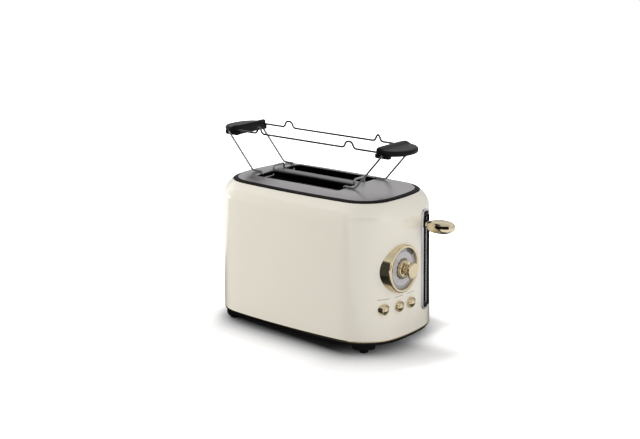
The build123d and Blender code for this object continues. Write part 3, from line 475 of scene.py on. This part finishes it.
def turned(name, y, z, profile, count=72):
    return skin(name, [circle(y, z, radius, x, count) for radius, x in profile], True)


# Dial: a gold barrel that stands on the curved wall, its scale disc and its knob, as radius and reach pairs
dial = {"y": -21.7, "z": 107.2, "front": 145.8, "back": 129.65, "base": 33.0, "rim": 30.5, "sink": 1.2,
        "lip": ((30.35, -0.45), (30.05, -0.12), (29.5, 0), (28.4, 0), (27.5, -0.05), (27.0, -0.3), (26.8, -0.8),
                (26.8, -4.2)),
        "disc": ((26.9, 141.6), (26.9, 142.4), (18, 142.4), (8, 142.4)),
        "knob": ((12.0, 142.2), (12.0, 145.8), (11.6, 146.7), (10.8, 147.1), (8.0, 147.3), (6.8, 147.9),
                 (6.3, 149.5), (6.3, 154.4), (6.9, 155.3), (10.0, 155.5), (10.45, 155.9), (10.5, 156.6),
                 (10.5, 158.4), (10.2, 159.1), (9.4, 159.5), (7.0, 159.6), (3.0, 159.6))}


def makeBarrel():
    taper = (dial["base"] - dial["rim"]) / (dial["front"] - dial["back"])
    rings, steps = [], 6
    for k in range(steps + 1):
        ring = []
        for x, y, z in circle(dial["y"], dial["z"], dial["base"] - 1, 0):
            begin = wallAt(y, z) - dial["sink"]
            reach = begin + (dial["front"] - 0.9 - begin) * k / steps
            radius = dial["base"] - taper * (reach - dial["back"])
            turn = atan2(z - dial["z"], y - dial["y"])
            ring.append((body["middle"] + reach, dial["y"] + radius * cos(turn), dial["z"] + radius * sin(turn)))
        rings.append(ring)
    rings += [circle(dial["y"], dial["z"], radius, dial["front"] + step) for radius, step in dial["lip"]]
    return skin("dialBarrel", rings, crease=50.0)


# Dark marks on the scale disc, each between two radii: a scalloped collar, printed ticks and specks, and painted
# shade from the barrel's inner wall as a thin ring inside the rim, a mottled outer band and a wedge
scale = {"collar": (11.0, 13.6), "waves": 14.0, "ticks": (21.2, 23.6), "tickCount": 36, "tickWidth": 0.16,
         "specks": (16.6, 19.0), "speckWidth": 0.55, "ring": (25.6, 26.1), "shade": (20.5, 23.5),
         "shadeWedge": (20.5, 24.5), "shadeWedgeTurn": 0.95, "inkAndShade": (0.06, 0.052, 0.045)}


def dialScaleAndShade(graph):
    x, y, z = graph.split(graph.place())
    y, z = (y - dial["y"] * mm) / mm, (z - dial["z"] * mm) / mm
    radius = (y * y + z * z) ** 0.5
    turn = z.maths("ARCTAN2", y)
    wave = (turn * scale["waves"]).alone("SINE")
    spread = (turn * (scale["tickCount"] / (2 * pi)) + 40.25).alone("FRACT")

    def between(low, high):
        return (radius > low) * (radius < high)

    collar = between(scale["collar"][0], wave * 0.5 + scale["collar"][1])
    ticks = between(*scale["ticks"]) * (spread < scale["tickWidth"])
    specks = between(*scale["specks"]) * (graph.noise(420.0, 1.0) > 0.6) * (spread < scale["speckWidth"])
    # Painted shade from the barrel's inner wall: the thin dark ring inside the rim, the mottled darkening of the
    # outer band and the dark wedge
    ring = between(*scale["ring"])
    shade = ramp(graph, radius, *scale["shade"]) * (graph.noise(260.0, 2.0) * 0.5 + 0.12)
    shadeWedge = ramp(graph, radius, *scale["shadeWedge"]) * (1 - ramp(graph, abs(turn - scale["shadeWedgeTurn"]), 0.16, 0.4))
    marksAndShade = (collar * 0.85 + ticks * 0.6 + specks * 0.5 + ring * 0.5 + shade + shadeWedge).least(0.93)
    cloud = graph.noise(60.0, 3.0)
    face = graph.mix(cloud, (0.50, 0.49, 0.50), (0.57, 0.555, 0.56))
    return {"Base_Color": graph.mix(marksAndShade, face, scale["inkAndShade"]), "Roughness": cloud * 0.08 + 0.3}


fit(makeBarrel(), "pale_gold", "dial_bezel")
fit(turned("dialDisc", dial["y"], dial["z"], dial["disc"]), "dial_grey", "dial_face",
    material("dialScaleAndShade", dialScaleAndShade, Metallic=0.25))
fit(turned("dialKnob", dial["y"], dial["z"], dial["knob"]), "pale_gold", "browning_knob")
print("dial made")


# Three push buttons: a gold ring and a domed cap each
button = {"middle": -27.0, "pitch": 22.7, "z": 58.8, "rise": 3.7, "cap": 5.35, "dome": 2.8, "count": 40,
          "ring": ((7.0, -8.0), (7.0, -0.9), (6.85, -0.4), (6.5, -0.1), (6.15, 0.0), (5.8, -0.15), (5.62, -0.5),
                   (5.6, -1.2), (5.6, -6.0))}


def makeButton(name, y):
    z, front = button["z"], wallAt(y, button["z"]) + button["rise"]
    rings = [circle(y, z, radius, front + step, button["count"]) for radius, step in button["ring"]]
    fit(skin(name + "Ring", rings, crease=50.0), "pale_gold", name + "_bezel")
    sphere = (button["cap"] ** 2 + button["dome"] ** 2) / (2 * button["dome"])
    widest = asin(button["cap"] / sphere)
    cap = [(button["cap"], -6.0), (button["cap"], -0.6), (button["cap"] - 0.1, -0.25)]
    for k in range(1, 8):
        a = widest * (1 - k / 8)
        cap.append((sphere * sin(a) - 0.1 * a, button["dome"] - 0.25 - sphere * (1 - cos(a))))
    profile = [(radius, front + step) for radius, step in cap]
    fit(turned(name + "Cap", y, z, profile, button["count"]), "pale_gold", name + "_button")


for step, name in enumerate(("cancel", "reheat", "defrost")):
    makeButton(name, button["middle"] + (step - 1) * button["pitch"])
print("buttons made")


# Lever slot: a chrome frame, a black liner, and a bright chrome lining in the slot itself that makes a painted
# highlight on the liner's edge
slotFrame = {"y": 28.8, "low": 41.1, "high": 173.7, "middle": 107.4, "width": 15.2, "corner": 6.2, "face": 142.73,
             "slot": 5.6, "slotLow": 49.1, "slotHigh": 165.2}
quarters = ((0, 1, 1), (1, -1, 1), (2, -1, -1), (3, 1, -1))


def frameRing(width, low, high, corner, depth, steps=10):
    ring = []
    for turn, sideY, sideZ in quarters:
        for k in range(steps + 1):
            a = (turn + k / steps) * pi / 2
            y = slotFrame["y"] + sideY * (width / 2 - corner) + corner * cos(a)
            z = (high - corner if sideZ > 0 else low + corner) + corner * sin(a)
            x = slotFrame["face"] - body["wallSlope"] * (z - slotFrame["middle"]) - depth
            ring.append((body["middle"] + x, y, z))
    return ring


def frameRings(steps):
    width, low, high, corner = (slotFrame[k] for k in ("width", "low", "high", "corner"))
    return [frameRing(width - 2 * o, low + o, high - o, max(corner - o, 0.5), depth) for o, depth in steps]


def slotRings(steps):
    width, low, high = (slotFrame[k] for k in ("slot", "slotLow", "slotHigh"))
    return [frameRing(width + 2 * o, low - o, high + o, width / 2 + o - 0.01, depth) for o, depth in steps]


# Chrome with a painted dark reflection on its right side, between two heights
paintedDarkReflection = {"from": 29.2, "to": 30.2, "low": 46, "high": 166}


def frameChromePaintedReflection(graph):
    x, y, z = graph.split(graph.place())
    # Painted reflection: the right side of the chrome goes near black between two heights
    dark = ramp(graph, y, paintedDarkReflection["from"] * mm, paintedDarkReflection["to"] * mm)
    dark = dark * (z < paintedDarkReflection["high"] * mm) * (z > paintedDarkReflection["low"] * mm)
    cloud = graph.noise(40.0, 2.0)
    chrome = graph.mix(cloud, (0.60, 0.60, 0.62), (0.68, 0.68, 0.70))
    return {"Base_Color": graph.mix(dark, chrome, (0.012, 0.012, 0.013)),
            "Roughness": cloud * 0.06 + 0.08 + dark * 0.2}


rim = frameRings([(0, 9), (0, 0.9), (0.2, 0.35), (0.7, 0), (1.6, 0), (2.15, 0.3), (2.4, 0.9), (2.4, 9)])
fit(skin("leverFrame", rim + rim[:1], crease=50.0), "bright_trim", "lever_slot_trim",
    material("frameChromePaintedReflection", frameChromePaintedReflection, Metallic=1.0))
liner = frameRings([(2.45, 8.8), (2.45, 0.9), (2.8, 0.7)]) + slotRings([(0.7, 0.7), (0.2, 0.9), (0, 1.4), (0, 8.8)])
fit(skin("leverLiner", liner + liner[:1], crease=50.0), "black_moulding", "lever_slot_liner")
# Painted highlight: a thin bright chrome strip inside the slot
highlightLining = slotRings([(0.05, 1.5), (-0.2, 1.3), (-0.35, 1.5), (-0.4, 3.7), (0.05, 3.7)])
fit(skin("slotHighlightLining", highlightLining + highlightLining[:1], crease=50.0), "bright_trim", "lever_slot_liner", replaces=False)
print("lever slot made")

# Lever knob: a full, rounded slab on a short neck
lever = {"z": 154.2, "start": 146.2, "length": 37.0, "halfWidth": 14.0, "halfHeight": 8.0, "neck": 4.6,
         "neckEnds": (143.6, 145.4), "rootPower": 2.9, "tipPower": 2.4, "swellPower": 2.5, "squareness": 0.78,
         "count": 64, "steps": 24}


def makeLeverKnob():
    turns = [2 * pi * k / lever["count"] for k in range(lever["count"])]
    rings = [[(x, lever["neck"] * cos(a), lever["neck"] * sin(a)) for a in turns] for x in lever["neckEnds"]]
    for k in range(1, lever["steps"]):
        t = pi * k / lever["steps"]
        x = lever["start"] + lever["length"] * (1 - cos(t)) / 2
        power = lever["rootPower"] if t < pi / 2 else lever["tipPower"]
        swell = (1 - abs(cos(t)) ** power) ** (1 / lever["swellPower"])
        ring = []
        for a in turns:
            across, up = (abs(v) ** lever["squareness"] * (1 if v > 0 else -1) for v in (cos(a), sin(a)))
            ring.append((x, lever["halfWidth"] * swell * across, lever["halfHeight"] * swell * up))
        rings.append(ring)
    rings = [[(body["middle"] + x, slotFrame["y"] + y, lever["z"] + z) for x, y, z in ring] for ring in rings]
    return skin("leverKnob", rings, True, 60.0)


# Gold with a painted dark reflection as a band round the knob's outer side, and painted shade on its underside
def leverGoldReflectionAndShade(graph):
    x, y, z = graph.split(graph.place())
    middle = (body["middle"] + lever["start"] + lever["length"] / 2) * mm
    out = (x - middle) / (lever["length"] / 2 * mm)
    side = (slotFrame["y"] * mm - y) / (lever["halfWidth"] * mm)
    turn = side.maths("ARCTAN2", out)
    rise = z / mm - lever["z"]
    # Painted reflection: a dark band round the knob's outer side
    reflectionStripe = ramp(graph, turn, 0.46, 0.58) * (1 - ramp(graph, turn, 1.56, 1.66))
    reflectionStripe = reflectionStripe * ramp(graph, rise, 0.5, 1.0) * (1 - ramp(graph, rise, 4.2, 4.7))
    # Painted shade: the knob's underside goes dark
    under = (1 - ramp(graph, rise, -5.9, -4.6)) * 0.9
    cloud = graph.noise(20.0, 4.0)
    gold = graph.mix(cloud, (0.78, 0.67, 0.46), (0.84, 0.73, 0.53))
    return {"Base_Color": graph.mix(reflectionStripe.most(under), gold, (0.02, 0.013, 0.006)),
            "Roughness": cloud * 0.04 + 0.07}


fit(makeLeverKnob(), "pale_gold", "lever_knob", material("leverGoldReflectionAndShade", leverGoldReflectionAndShade, Metallic=1.0))
print("lever knob made")

# Bun rack handles: a rounded D-shaped plate with a raised inner ridge, a wall and two cheeks under it
rack = {"middle": -11.2, "wire": 251.9, "start": 114.5, "tip": 151.4, "half": 31.0, "drop": 4.0, "top": 3.4,
        "ridge": 2.8, "wall": 7.0, "cheek": 22.0, "cheekWidth": 7.5, "low": 7.0, "rounding": 2.2, "still": 15,
        "outerPower": 0.9, "innerPower": 0.42}
rackCentre = body["middle"] + rack["middle"]


def handlePlan(inset, count=96):
    ring = []
    root = rack["start"] + rack["wall"]
    for k in range(count):
        a = 2 * pi * k / count
        across, out = sin(a), cos(a)
        power = rack["outerPower"] if out > 0 else rack["innerPower"]
        reach = (rack["tip"] - root if out > 0 else -rack["wall"]) * abs(out) ** power
        ring.append((root + reach, rack["half"] * (1 if across > 0 else -1) * abs(across) ** power))
    middle = rack["start"] + rack["still"]
    keep, side = 1 - inset / rack["still"], 1 - inset / rack["half"]
    return [(middle + (u - middle) * keep, y * side) for u, y in ring]


def handleTop(u):
    t = min(max((u - rack["start"] - 5) / 9, 0), 1)
    return rack["top"] + rack["ridge"] * (1 - t * t * (3 - 2 * t)) - 0.03 * max(u - rack["start"] - 14, 0)


def makeHandle(name, side):
    low = rack["wire"] - rack["drop"]
    rings = []
    for inset, lift in ((3.0, 0), (0.8, 0.35), (0.1, 1.4)):
        rings.append([(u, y, low + lift) for u, y in handlePlan(inset)])
    for inset, fall in ((0, 2.4), (0.35, 1.2), (1.1, 0.35), (2.4, 0), (4.5, 0), (7, 0), (9.5, 0), (12, 0)):
        rings.append([(u, y, rack["wire"] + handleTop(u) - fall) for u, y in handlePlan(inset)])
    rings = [[(rackCentre + side * u, y, z) for u, y, z in ring] for ring in rings]
    return skin(name, rings, True, 55.0)


def makeBlock(name, side, u, y, length, width, low, high):
    rings = []
    cornerU, cornerY = length / 2 - rack["rounding"], width / 2 - rack["rounding"]
    for inset, z in ((1.0, low), (0.3, low + 0.3), (0, low + 1.0), (0, high)):
        ring = []
        radius = rack["rounding"] - inset
        for turn, sideU, sideY in quarters:
            for k in range(5):
                a = (turn + k / 4) * pi / 2
                ring.append((u + sideU * cornerU + radius * cos(a), y + sideY * cornerY + radius * sin(a), z))
        rings.append([(rackCentre + side * p, q, z) for p, q, z in ring])
    return skin(name, rings, True, 50.0)


for name, side in (("left", -1), ("right", 1)):
    like = "rack_handle_" + name
    fit(makeHandle(name + "Handle", side), "black_moulding", like)
    low, high = rack["wire"] - rack["low"], rack["wire"] - rack["drop"] + 2
    place = rack["start"] + rack["wall"] / 2
    wall = makeBlock(name + "HandleWall", side, place, 0, rack["wall"], 2 * rack["half"] - 4, low + 0.5, high)
    fit(wall, "black_moulding", like, replaces=False)
    for end, across in (("Near", -1), ("Far", 1)):
        middle, place = rack["half"] - rack["cheekWidth"] / 2, rack["start"] + rack["cheek"] / 2
        cheek = makeBlock(name + "Cheek" + end, side, place, across * middle, rack["cheek"], rack["cheekWidth"],
                          low, high)
        fit(cheek, "black_moulding", like, replaces=False)
print("handles made")


# Bun rack wires: tubes along paths with softly bent corners
wires = {"radius": 1.35, "y": 28.3, "end": 119.5, "hump": 8.1, "narrow": (-76.5, 3.0), "wide": (73.2, 9.0),
         "flank": 3.6, "bend": 3.6, "legBend": 3.0, "legY": 32.1, "top": (128.3, 249.9), "foot": (86.0, 202.4),
         "toe": 68.0, "dip": 193.4, "stapleY": 10.5, "staple": 207.0}


def bent(points, cut, steps=5):
    path = [points[0]]
    for before, corner, after in zip(points, points[1:], points[2:]):
        start, stop = (corner + (far - corner).normalized() * min(cut, (far - corner).length * 0.48)
                       for far in (before, after))
        for k in range(steps + 1):
            t = k / steps
            path.append(start * (1 - t) ** 2 + corner * 2 * t * (1 - t) + stop * t ** 2)
    return path + [points[-1]]


def tube(name, points, cut, sides=12):
    path = bent([Vector(p) for p in points], cut)
    beside = Vector((0, 1, 0)).cross(path[1] - path[0]).normalized()
    rings = []
    for k, place in enumerate(path):
        along = (path[min(k + 1, len(path) - 1)] - path[max(k - 1, 0)]).normalized()
        beside = (beside - along * beside.dot(along)).normalized()
        other = along.cross(beside)
        turns = [2 * pi * n / sides for n in range(sides)]
        rings.append([tuple(place + (beside * cos(a) + other * sin(a)) * wires["radius"]) for a in turns])
    return skin(name, rings, True, 60.0)


def humped(place, top):
    half, height = top / 2, wires["hump"]
    foot = half + wires["flank"]
    return [(place - foot, 0), (place - half, height), (place + half, height), (place + foot, 0)]


def rackSteel(name, tones):
    return material(name, mottled(tones, 40.0, (0.16, 0.24)), Metallic=1.0)


# Painted dark reflection: the long wires get a much darker copy of the legs' steel
longSteelPaintedReflection = rackSteel("longWireSteelPaintedReflection", ((0.13, 0.13, 0.133), (0.2, 0.2, 0.205)))
legSteel = rackSteel("legWireSteel", ((0.38, 0.38, 0.385), (0.46, 0.46, 0.465)))
for name, side in (("front", -1), ("back", 1)):
    run = [(-wires["end"], 0)] + humped(*wires["narrow"]) + humped(*wires["wide"]) + [(wires["end"], 0)]
    path = [(rackCentre - side * u, side * wires["y"], rack["wire"] + rise) for u, rise in run]
    fit(tube(name + "LongWire", path, wires["bend"]), "bright_trim", "rack_wire_" + name, longSteelPaintedReflection)
for name, side in (("left", -1), ("right", 1)):
    (topX, topZ), (footX, footZ) = wires["top"], wires["foot"]
    toe, out, near = wires["toe"], wires["legY"], wires["stapleY"]
    half = [(topX, out, topZ), (footX, out, footZ), (toe, out, footZ), (toe, out, wires["dip"]),
            (toe, near, wires["dip"]), (toe, near, wires["staple"])]
    path = [(rackCentre + side * u, -y, z) for u, y, z in half + [(u, -y, z) for u, y, z in reversed(half)]]
    fit(tube(name + "Legs", path, wires["legBend"]), "bright_trim", "rack_legs_" + name, legSteel)
print("rack wires made")


# Studio: white to the camera, with dark cards in two directions that only reflections see
card = {"way": (-0.629, -0.777), "dark": 0.94, "camera": (0.627, -0.779)}


def rayKinds(graph):
    path = graph.node("ShaderNodeLightPath", output="Is Camera Ray").socket.node
    return Socket(graph, path.outputs["Is Camera Ray"]), Socket(graph, path.outputs["Is Glossy Ray"])


# The painted contact shadow on the floor under the body, in millimetres: wide past the control end and narrow past
# the cord's end
contact = {"halfLength": 83.0, "halfWidth": 25.0, "corner": 60.0, "dark": 0.96, "start": 16, "width": 31,
           "controlEnd": (60.0, 150.0), "controlWider": 18, "cordEnd": (90.0, 140.0), "cordSooner": 17,
           "cordNarrower": 20}


def contactShade(graph, x, y):
    x, y = (x - body["middle"] * mm) / mm, y / mm
    far = ramp(graph, x, *contact["controlEnd"])
    alongX, alongY = abs(x) - contact["halfLength"], abs(y) - contact["halfWidth"]
    outX, outY = alongX.most(0.0), alongY.most(0.0)
    away = (outX * outX + outY * outY) ** 0.5 + alongX.most(alongY).least(0.0) - contact["corner"]
    cordEnd = ramp(graph, x * -1.0, *contact["cordEnd"])
    start = contact["start"] - x.most(-150.0).least(150.0) * 0.1 - cordEnd * contact["cordSooner"]
    width = contact["width"] + far * contact["controlWider"] - cordEnd * contact["cordNarrower"]
    fall = (away + start).most(0.0) / width
    depth = contact["dark"] - far * (0.44 + ramp(graph, y, -10.0, 25.0) * 0.5)
    return 1 - depth * (fall * -1.0).alone("EXPONENT")


# The floor: how bright the camera and reflections see it, and where its own white covers the lamps' shadows
ground = {"size": 8, "white": 1.3, "bounce": 0.8, "near": (0.17, 0.3), "nearReflectedShade": 0.94, "glow": (0.18, 0.28),
          "sideGlow": 0.4}


def addStage():
    bpy.ops.mesh.primitive_plane_add(size=ground["size"], location=(0, 0, -0.0002))
    floor = bpy.context.object
    floor.name = "studioFloor"
    made = bpy.data.materials.new("floorWhite")
    made.use_nodes = True
    graph = Graph(made.node_tree)
    surface = made.node_tree.nodes["Principled BSDF"]
    camera, glossy = rayKinds(graph)
    x, y, z = graph.split(graph.place())
    out = x * card["way"][0] + y * card["way"][1]
    across = abs(x * card["way"][1] - y * card["way"][0])
    patch = ramp(graph, out, 0.0, 0.12) * (1 - ramp(graph, across - out * 0.5, 0.16, 0.3))
    radius = (x * x + y * y) ** 0.5
    # Painted shade: reflections see the floor darker close to the body
    near = glossy * (1 - ramp(graph, radius, *ground["near"])) * ground["nearReflectedShade"]
    pale = ground["bounce"] + glossy * (1 - ground["bounce"])
    bounce = (1 - glossy * patch * card["dark"]) * (1 - near) * pale
    shade = camera * contactShade(graph, x, y) * ground["white"] + (1 - camera) * bounce
    leverEnd = ramp(graph, x, 0.12, 0.15) * ramp(graph, y, 0.0, 0.06)
    behind = ramp(graph, x, 0.0, 0.05) * ramp(graph, y, 0.09, 0.12)
    beside = leverEnd.most(behind).most(ramp(graph, x * -1.0, 0.155, 0.175))
    glow = ramp(graph, radius, *ground["glow"]).most(beside * ground["sideGlow"])
    made.node_tree.links.new(shade.socket, surface.inputs["Base Color"])
    made.node_tree.links.new((camera * glow).socket, surface.inputs["Emission Strength"])
    surface.inputs["Emission Color"].default_value = (1, 1, 1, 1)
    surface.inputs["Roughness"].default_value = 1.0
    surface.inputs["Specular IOR Level"].default_value = 0.0
    dress(floor, made)


addStage()


# Softboxes: place, size and power, all aimed at the body's middle and left out of reflections
softboxes = {"keySoftbox": ((-0.9, -0.3, 2.1), (1.2, 1.2), 4),
             "leftSoftbox": ((-2.0, -0.85, 0.5), (1.4, 1.2), 30),
             "rightSoftbox": ((2.1, 0.2, 0.6), (1.2, 1.2), 9)}


def addLight(name, place, size, power):
    bpy.ops.object.light_add(type="AREA", location=place)
    lamp = bpy.context.object
    lamp.name = name
    lamp.data.shape = "RECTANGLE"
    lamp.data.size, lamp.data.size_y = size
    lamp.data.energy = power
    lamp.rotation_euler = (Vector((0, 0, 0.1)) - Vector(place)).to_track_quat("-Z", "Y").to_euler()
    lamp.visible_glossy = False


for name, (place, size, power) in softboxes.items():
    addLight(name, place, size, power)


# The air's light: its level, how it fades with height, and how much darker it is behind the body in reflections
air = {"level": 0.86, "low": 1.12, "fade": 0.42, "behind": 0.4}


def addWorld():
    world = bpy.data.worlds.new("studioAir")
    bpy.context.scene.world = world
    world.use_nodes = True
    surface = world.node_tree.nodes["Background"]
    graph = Graph(world.node_tree)
    camera, glossy = rayKinds(graph)
    x, y, z = graph.split(graph.node("ShaderNodeTexCoord", output="Generated"))
    along = x * card["way"][0] + y * card["way"][1]
    patch = ramp(graph, along, 0.72, 0.84) * (1 - ramp(graph, z, 0.5, 0.6))
    along = x * card["camera"][0] + y * card["camera"][1]
    patch = patch.most(ramp(graph, along, 0.78, 0.9) * ramp(graph, z, 0.02, 0.08) * (1 - ramp(graph, z, 0.3, 0.4)))
    sky = 1 - glossy * ramp(graph, y, 0.1, 0.4) * (1 - ramp(graph, z, 0.3, 0.65)) * air["behind"]
    high = air["low"] - ramp(graph, z, 0.3, 0.85) * air["fade"]
    strength = camera + (1 - camera) * (1 - glossy * patch * card["dark"]) * sky * high * air["level"]
    world.node_tree.links.new(strength.socket, surface.inputs["Strength"])
    surface.inputs["Color"].default_value = (1, 1, 1, 1)


addWorld()
bpy.context.scene.view_settings.view_transform = "Standard"
print("studio ready")
